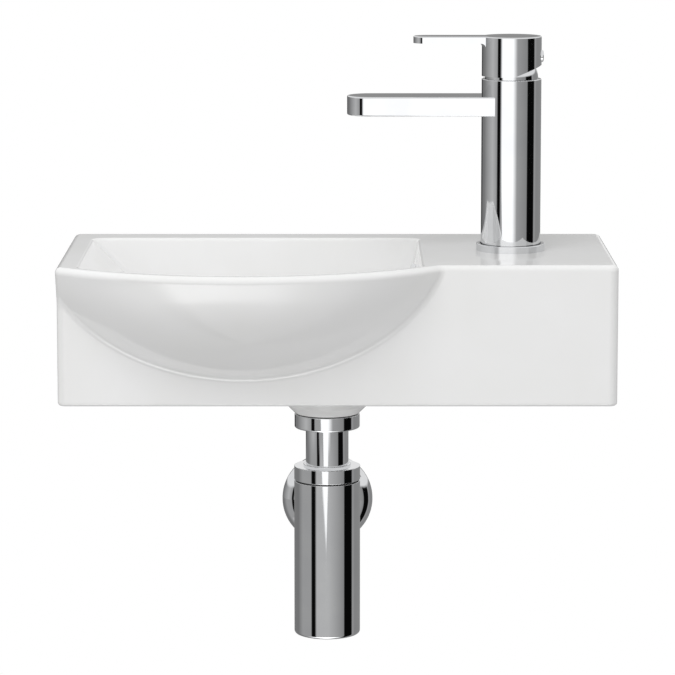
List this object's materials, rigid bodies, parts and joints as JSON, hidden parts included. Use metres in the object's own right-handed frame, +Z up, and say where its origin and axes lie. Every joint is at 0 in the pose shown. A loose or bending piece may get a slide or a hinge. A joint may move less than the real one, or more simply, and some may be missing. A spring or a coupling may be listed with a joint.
{
  "type": "wall hung basin",
  "caption": "Narrow wall hung cloakroom basin with a bulging bowl, tap ledge, single-lever mixer tap, click waste and chrome bottle trap.",
  "frame": {"origin": "on the wall plane, midway between the two wall fixings", "axes": "+X to the tap end as seen from the room, +Y into the wall, +Z up"},
  "size_m": [0.4, 0.3006, 0.4474],
  "materials": {
    "ceramic_white": "glossy white glaze",
    "chrome_plate": "mirror polished plating",
    "brass_bare": "machined",
    "rubber_black": "matte",
    "rubber_grey": "matte",
    "steel_zinc": "bright zinc plated",
    "steel_stainless": "drawn wire and bar",
    "plastic_white": "moulded, satin",
    "plastic_grey": "moulded, satin",
    "disc_ceramic": "lapped"
  },
  "bodies": {
    "basin_and_fittings": {"basin": "ceramic_white", "overflow_ring": "chrome_plate", "hanger_bolts": "steel_zinc", "fixing_sleeves": "plastic_white", "fixing_washers": "steel_zinc", "fixing_nuts": "steel_zinc", "waste_body": "chrome_plate", "waste_top_seal": "rubber_grey", "click_cartridge": "brass_bare", "plug_spring": "steel_stainless", "boss_joint_ring": "rubber_black", "inlet_nut": "chrome_plate", "inlet_seal": "rubber_black", "dip_tube": "chrome_plate", "trap_cap": "chrome_plate", "tube_seal": "rubber_black", "seam_ring": "rubber_black", "trap_body": "chrome_plate", "outlet_seal": "rubber_black", "outlet_nut": "chrome_plate", "outlet_tube": "chrome_plate", "wall_rosette": "chrome_plate", "tap_base_ring": "chrome_plate", "tap_base_seal": "rubber_black", "tap_body": "chrome_plate", "aerator_housing": "chrome_plate", "aerator_insert": "plastic_grey", "valve_block": "brass_bare", "valve_seals": "rubber_black", "cartridge": "plastic_white", "fixed_disc": "disc_ceramic", "cartridge_nut": "brass_bare", "dome_cover": "chrome_plate", "fixing_stud": "steel_zinc", "under_deck_seal": "rubber_black", "under_deck_plate": "steel_zinc", "stud_nut": "brass_bare"},
    "rotor": {"cartridge_rotor": "plastic_white", "pivot_pin": "steel_stainless"},
    "lever": {"handle": "chrome_plate", "handle_grub_screw": "steel_stainless", "index_button": "chrome_plate", "lever_spindle": "brass_bare"},
    "disc": {"moving_disc": "disc_ceramic"},
    "plug": {"waste_plug": "chrome_plate", "plug_seal": "rubber_black", "plug_stem": "brass_bare"}
  },
  "joints": [
    {"name": "handle_turn", "type": "hinge", "parent": "basin_and_fittings", "child": "rotor", "pos_m": [0.127, -0.093, 0.204], "axis": [0, 0, 1], "range_deg": [-45, 45]},
    {"name": "handle_lift", "type": "hinge", "parent": "rotor", "child": "lever", "pos_m": [0.127, -0.093, 0.204], "axis": [0, 1, 0], "range_deg": [0, 20]},
    {"name": "disc_slide", "type": "slide", "parent": "rotor", "child": "disc", "axis": [-1, 0, 0], "range_m": [0, 0.0039]},
    {"name": "plug_lift", "type": "slide", "parent": "basin_and_fittings", "child": "plug", "axis": [0, 0, 1], "range_m": [0, 0.008], "deforming": ["plug_spring"]}
  ],
  "couplings": [
    {"joint": "disc_slide", "follows": "handle_lift", "m_per_rad": 0.0109}
  ]
}
